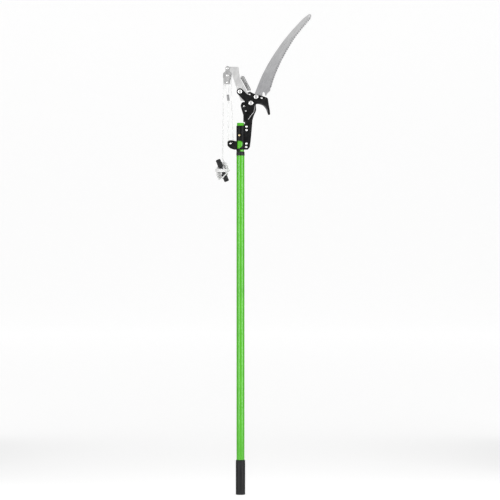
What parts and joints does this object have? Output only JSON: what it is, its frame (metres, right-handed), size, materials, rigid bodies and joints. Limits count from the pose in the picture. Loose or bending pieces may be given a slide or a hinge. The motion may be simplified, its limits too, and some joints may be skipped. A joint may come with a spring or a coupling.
{
  "type": "telescoping pole saw",
  "caption": "Telescoping pole with a curved pruning saw and a hooked shear at its head; the shear is worked from below by a rope over pulleys.",
  "frame": {"origin": "centre of the flat lower face of the hand grip, on the pole's axis", "axes": "+Z along the pole from the grip to the cutting head; +X towards the side that the saw blade and the hook point to; -Y out of the front of the head, where the bolt heads show"},
  "size_m": [0.3345, 0.0361, 1.6823],
  "materials": {
    "green_enamel": "glossy powder coat on aluminium tube",
    "black_enamel": "satin black coating on steel plate",
    "black_plastic": "matte moulded plastic",
    "grey_plastic": "smooth moulded nylon",
    "zinc": "bright zinc plate on pressed and turned steel",
    "saw_steel": "ground and polished blade steel",
    "spring_steel": "drawn spring wire",
    "crimp_alloy": "dull crimped sleeve",
    "brass": "bright machine screw",
    "rope": "white braided cord"
  },
  "bodies": {
    "outer_pole": {"hand_grip": "black_plastic", "outer_tube": "green_enamel", "top_collar": "black_plastic"},
    "lock_ring": {"lock_ring": "grey_plastic"},
    "head": {"inner_tube": "green_enamel", "cam_plug": "grey_plastic", "cam_screw": "zinc", "clamp_bracket": "black_enamel", "jaw_plate": "black_enamel", "saw_blade": "saw_steel", "cheek_rivet_1": "zinc", "cheek_rivet_2": "zinc", "cheek_rivet_3": "zinc", "cheek_rivet_4": "zinc", "lobe_rivet_1": "zinc", "lobe_rivet_2": "zinc", "spring_stud": "zinc", "saw_rivet": "zinc", "tube_screw": "brass", "saw_bolt": "zinc", "saw_nut": "zinc", "pivot_bolt": "zinc", "pivot_nut": "zinc", "ear_axle": "zinc", "rope_under": "rope"},
    "cutter": {"cutter_blade": "black_enamel", "link_plate": "black_enamel", "lever_arm": "zinc", "lever_bolt": "zinc", "lever_nut": "zinc"},
    "spring_foot": {"spring_hook": "spring_steel"},
    "spring": {"return_spring": "spring_steel"},
    "block": {"block_front_cheek": "zinc", "block_back_cheek": "zinc", "block_axle": "zinc", "block_pin": "zinc", "becket_pin": "zinc", "rope_over": "rope", "becket_loop": "rope", "ferrule": "crimp_alloy"},
    "top_pulley": {"top_pulley": "grey_plastic"},
    "lower_pulley": {"lower_pulley": "grey_plastic"},
    "tackle": {"rope_standing": "rope", "rope_hauling": "rope"},
    "rope_fall": {"rope_fall": "rope"},
    "handle": {"pull_handle": "black_plastic", "rope_hank": "rope"}
  },
  "joints": [
    {"name": "pole_extend", "type": "slide", "parent": "outer_pole", "child": "lock_ring", "axis": [0, 0, 1], "range_m": [0, 0.9]},
    {"name": "pole_twist", "type": "hinge", "parent": "lock_ring", "child": "head", "pos_m": [0, 0, 0.0835], "axis": [0, 0, 1], "continuous": true},
    {"name": "cutter_swing", "type": "hinge", "parent": "head", "child": "cutter", "pos_m": [0.0366, 0, 1.37], "axis": [0, -1, 0], "range_deg": [0, 76], "stiffness_Nm_per_rad": 1.2, "springref_deg": -45.84, "deforming": ["return_spring", "spring_hook", "rope_standing", "rope_hauling", "rope_over"]},
    {"name": "spring_swing", "type": "hinge", "parent": "head", "child": "spring_foot", "pos_m": [0.0315, 0, 1.4], "axis": [0, -1, 0], "range_deg": [0, 88.5]},
    {"name": "spring_stretch", "type": "slide", "parent": "spring_foot", "child": "spring", "axis": [-0.5124, 0, 0.8587], "range_m": [0, 0.035]},
    {"name": "block_swing", "type": "hinge", "parent": "cutter", "child": "block", "pos_m": [-0.0455, 0, 1.4914], "axis": [0, -1, 0], "range_deg": [-52, 0]},
    {"name": "top_pulley_spin", "type": "hinge", "parent": "block", "child": "top_pulley", "pos_m": [-0.046, 0, 1.4662], "axis": [0, 1, 0], "continuous": true},
    {"name": "lower_pulley_spin", "type": "hinge", "parent": "head", "child": "lower_pulley", "pos_m": [-0.0345, 0, 1.2285], "axis": [0, 1, 0], "continuous": true},
    {"name": "tackle_swing", "type": "hinge", "parent": "head", "child": "tackle", "pos_m": [-0.0345, 0, 1.2285], "axis": [0, -1, 0], "range_deg": [0, 37.5]},
    {"name": "rope_hang", "type": "hinge", "parent": "block", "child": "rope_fall", "pos_m": [-0.046, 0, 1.4662], "axis": [0, -1, 0], "range_deg": [-25.5, 0]},
    {"name": "rope_pull", "type": "slide", "parent": "rope_fall", "child": "handle", "axis": [0, 0, -1], "range_m": [0, 0.31]}
  ],
  "couplings": [
    {"joint": "block_swing", "follows": "cutter_swing", "ratio": -0.672},
    {"joint": "spring_swing", "follows": "cutter_swing", "ratio": 1.15},
    {"joint": "spring_stretch", "follows": "cutter_swing", "m_per_rad": 0.0257},
    {"joint": "tackle_swing", "follows": "cutter_swing", "ratio": 0.485},
    {"joint": "rope_hang", "follows": "cutter_swing", "ratio": -0.3276},
    {"joint": "rope_pull", "follows": "cutter_swing", "m_per_rad": 0.226}
  ]
}
